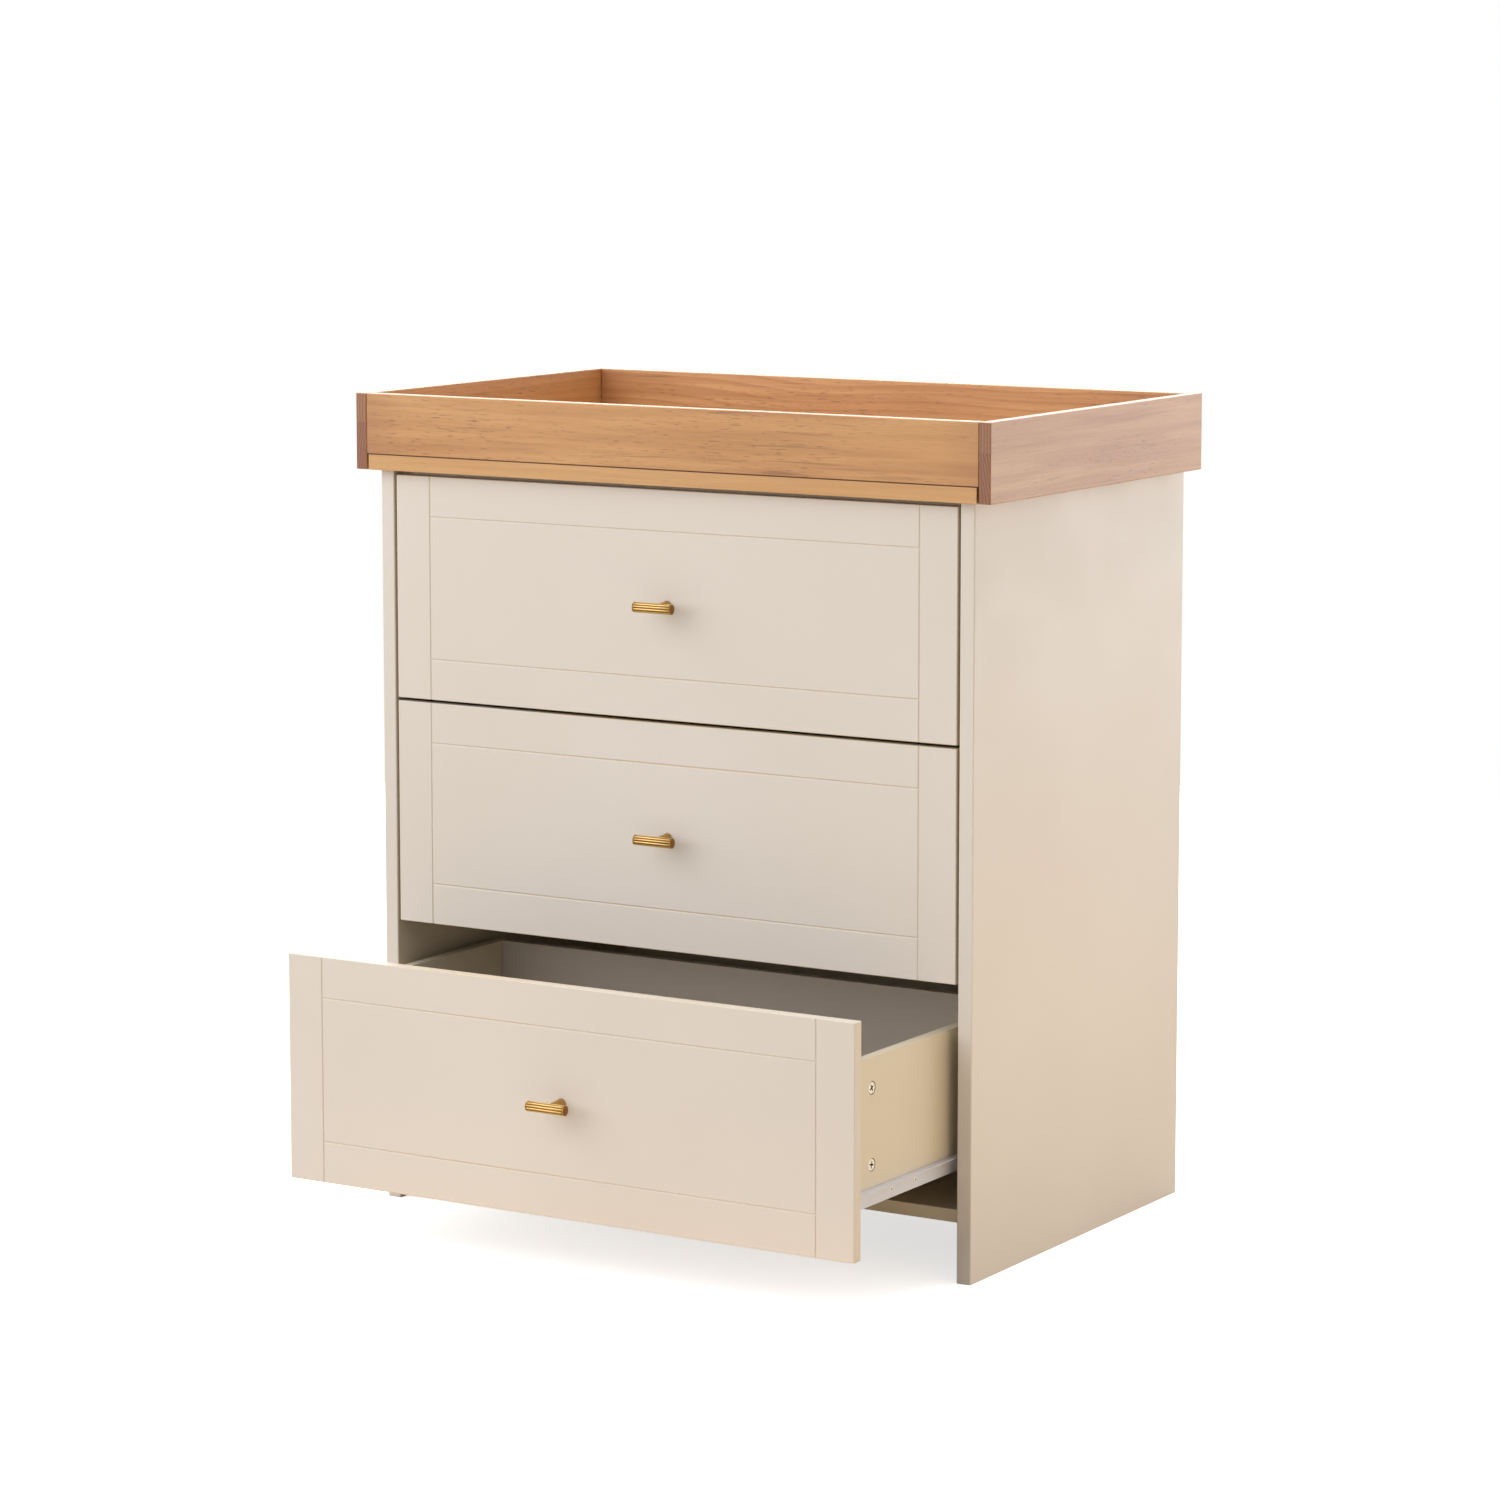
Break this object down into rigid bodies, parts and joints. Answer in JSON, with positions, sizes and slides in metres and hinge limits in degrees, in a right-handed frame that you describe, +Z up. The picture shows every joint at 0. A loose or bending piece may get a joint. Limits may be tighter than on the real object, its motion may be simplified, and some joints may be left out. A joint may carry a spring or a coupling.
{
  "type": "changing table",
  "caption": "Chest of drawers with inset grooved fronts and brass T-bar knobs, standing on its side panels, with a lift-off wooden changing tray around its wooden top.",
  "frame": {"origin": "on the floor, at the middle of the stored outline: side to side between the side panels, and front to back between the open bottom drawer's knob and the side panels' rear edges", "axes": "+X to the object's left-hand side as it faces forward, which is the right of a person facing the drawers; +Y to the rear; +Z up; the drawers open towards -Y"},
  "size_m": [0.8528, 0.7692, 0.9683],
  "materials": {
    "cream_paint": "satin paint on board",
    "oak_top": "satin clear lacquer",
    "oak_tray": "satin clear lacquer",
    "white_board": "smooth white-faced hardboard",
    "runner_steel": "white powder coat",
    "roller_plastic": "matte",
    "brushed_brass": "brushed"
  },
  "bodies": {
    "carcass": {"left_side_panel": "cream_paint", "right_side_panel": "cream_paint", "bottom_panel": "cream_paint", "back_panel": "white_board", "front_top_rail": "cream_paint", "rear_top_rail": "cream_paint", "top_panel": "oak_top", "top_left_cabinet_runner": "runner_steel", "top_right_cabinet_runner": "runner_steel", "middle_left_cabinet_runner": "runner_steel", "middle_right_cabinet_runner": "runner_steel", "bottom_left_cabinet_runner": "runner_steel", "bottom_right_cabinet_runner": "runner_steel"},
    "tray": {"tray_front_board": "oak_tray", "tray_rear_board": "oak_tray", "tray_left_board": "oak_tray", "tray_right_board": "oak_tray"},
    "top_drawer": {"top_drawer_front": "cream_paint", "top_drawer_back": "cream_paint", "top_drawer_left_side": "cream_paint", "top_drawer_right_side": "cream_paint", "top_drawer_bottom": "white_board", "top_knob_post": "brushed_brass", "top_knob_bar": "brushed_brass", "top_left_drawer_runner": "runner_steel", "top_right_drawer_runner": "runner_steel"},
    "top_left_front_roller": {"top_left_front_roller": "roller_plastic"},
    "top_left_rear_roller": {"top_left_rear_roller": "roller_plastic"},
    "top_right_front_roller": {"top_right_front_roller": "roller_plastic"},
    "top_right_rear_roller": {"top_right_rear_roller": "roller_plastic"},
    "middle_drawer": {"middle_drawer_front": "cream_paint", "middle_drawer_back": "cream_paint", "middle_drawer_left_side": "cream_paint", "middle_drawer_right_side": "cream_paint", "middle_drawer_bottom": "white_board", "middle_knob_post": "brushed_brass", "middle_knob_bar": "brushed_brass", "middle_left_drawer_runner": "runner_steel", "middle_right_drawer_runner": "runner_steel"},
    "middle_left_front_roller": {"middle_left_front_roller": "roller_plastic"},
    "middle_left_rear_roller": {"middle_left_rear_roller": "roller_plastic"},
    "middle_right_front_roller": {"middle_right_front_roller": "roller_plastic"},
    "middle_right_rear_roller": {"middle_right_rear_roller": "roller_plastic"},
    "bottom_drawer": {"bottom_drawer_front": "cream_paint", "bottom_drawer_back": "cream_paint", "bottom_drawer_left_side": "cream_paint", "bottom_drawer_right_side": "cream_paint", "bottom_drawer_bottom": "white_board", "bottom_knob_post": "brushed_brass", "bottom_knob_bar": "brushed_brass", "bottom_left_drawer_runner": "runner_steel", "bottom_right_drawer_runner": "runner_steel"},
    "bottom_left_front_roller": {"bottom_left_front_roller": "roller_plastic"},
    "bottom_left_rear_roller": {"bottom_left_rear_roller": "roller_plastic"},
    "bottom_right_front_roller": {"bottom_right_front_roller": "roller_plastic"},
    "bottom_right_rear_roller": {"bottom_right_rear_roller": "roller_plastic"}
  },
  "joints": [
    {"name": "tray_lift", "type": "slide", "parent": "carcass", "child": "tray", "axis": [0, 0, 1], "range_m": [0, 0.03]},
    {"name": "top_drawer_slide", "type": "slide", "parent": "carcass", "child": "top_drawer", "axis": [0, -1, 0], "range_m": [0, 0.3]},
    {"name": "top_left_front_roller_spin", "type": "hinge", "parent": "carcass", "child": "top_left_front_roller", "pos_m": [-0.3759, -0.0976, 0.67037], "axis": [1, 0, 0], "continuous": true},
    {"name": "top_left_rear_roller_spin", "type": "hinge", "parent": "top_drawer", "child": "top_left_rear_roller", "pos_m": [-0.3751, 0.2759, 0.67217], "axis": [1, 0, 0], "continuous": true},
    {"name": "top_right_front_roller_spin", "type": "hinge", "parent": "carcass", "child": "top_right_front_roller", "pos_m": [0.3759, -0.0976, 0.67037], "axis": [1, 0, 0], "continuous": true},
    {"name": "top_right_rear_roller_spin", "type": "hinge", "parent": "top_drawer", "child": "top_right_rear_roller", "pos_m": [0.3751, 0.2759, 0.67217], "axis": [1, 0, 0], "continuous": true},
    {"name": "middle_drawer_slide", "type": "slide", "parent": "carcass", "child": "middle_drawer", "axis": [0, -1, 0], "range_m": [0, 0.3]},
    {"name": "middle_left_front_roller_spin", "type": "hinge", "parent": "carcass", "child": "middle_left_front_roller", "pos_m": [-0.3759, -0.0976, 0.40183], "axis": [1, 0, 0], "continuous": true},
    {"name": "middle_left_rear_roller_spin", "type": "hinge", "parent": "middle_drawer", "child": "middle_left_rear_roller", "pos_m": [-0.3751, 0.2759, 0.40363], "axis": [1, 0, 0], "continuous": true},
    {"name": "middle_right_front_roller_spin", "type": "hinge", "parent": "carcass", "child": "middle_right_front_roller", "pos_m": [0.3759, -0.0976, 0.40183], "axis": [1, 0, 0], "continuous": true},
    {"name": "middle_right_rear_roller_spin", "type": "hinge", "parent": "middle_drawer", "child": "middle_right_rear_roller", "pos_m": [0.3751, 0.2759, 0.40363], "axis": [1, 0, 0], "continuous": true},
    {"name": "bottom_drawer_slide", "type": "slide", "parent": "carcass", "child": "bottom_drawer", "axis": [0, -1, 0], "range_m": [-0.2215, 0.0785]},
    {"name": "bottom_left_front_roller_spin", "type": "hinge", "parent": "carcass", "child": "bottom_left_front_roller", "pos_m": [-0.3759, -0.0976, 0.1333], "axis": [1, 0, 0], "continuous": true},
    {"name": "bottom_left_rear_roller_spin", "type": "hinge", "parent": "bottom_drawer", "child": "bottom_left_rear_roller", "pos_m": [-0.3751, 0.0544, 0.1351], "axis": [1, 0, 0], "continuous": true},
    {"name": "bottom_right_front_roller_spin", "type": "hinge", "parent": "carcass", "child": "bottom_right_front_roller", "pos_m": [0.3759, -0.0976, 0.1333], "axis": [1, 0, 0], "continuous": true},
    {"name": "bottom_right_rear_roller_spin", "type": "hinge", "parent": "bottom_drawer", "child": "bottom_right_rear_roller", "pos_m": [0.3751, 0.0544, 0.1351], "axis": [1, 0, 0], "continuous": true}
  ],
  "couplings": [
    {"joint": "top_left_front_roller_spin", "follows": "top_drawer_slide", "rad_per_m": 125},
    {"joint": "top_left_rear_roller_spin", "follows": "top_drawer_slide", "rad_per_m": 125},
    {"joint": "top_right_front_roller_spin", "follows": "top_drawer_slide", "rad_per_m": 125},
    {"joint": "top_right_rear_roller_spin", "follows": "top_drawer_slide", "rad_per_m": 125},
    {"joint": "middle_left_front_roller_spin", "follows": "middle_drawer_slide", "rad_per_m": 125},
    {"joint": "middle_left_rear_roller_spin", "follows": "middle_drawer_slide", "rad_per_m": 125},
    {"joint": "middle_right_front_roller_spin", "follows": "middle_drawer_slide", "rad_per_m": 125},
    {"joint": "middle_right_rear_roller_spin", "follows": "middle_drawer_slide", "rad_per_m": 125},
    {"joint": "bottom_left_front_roller_spin", "follows": "bottom_drawer_slide", "rad_per_m": 125},
    {"joint": "bottom_left_rear_roller_spin", "follows": "bottom_drawer_slide", "rad_per_m": 125},
    {"joint": "bottom_right_front_roller_spin", "follows": "bottom_drawer_slide", "rad_per_m": 125},
    {"joint": "bottom_right_rear_roller_spin", "follows": "bottom_drawer_slide", "rad_per_m": 125}
  ]
}
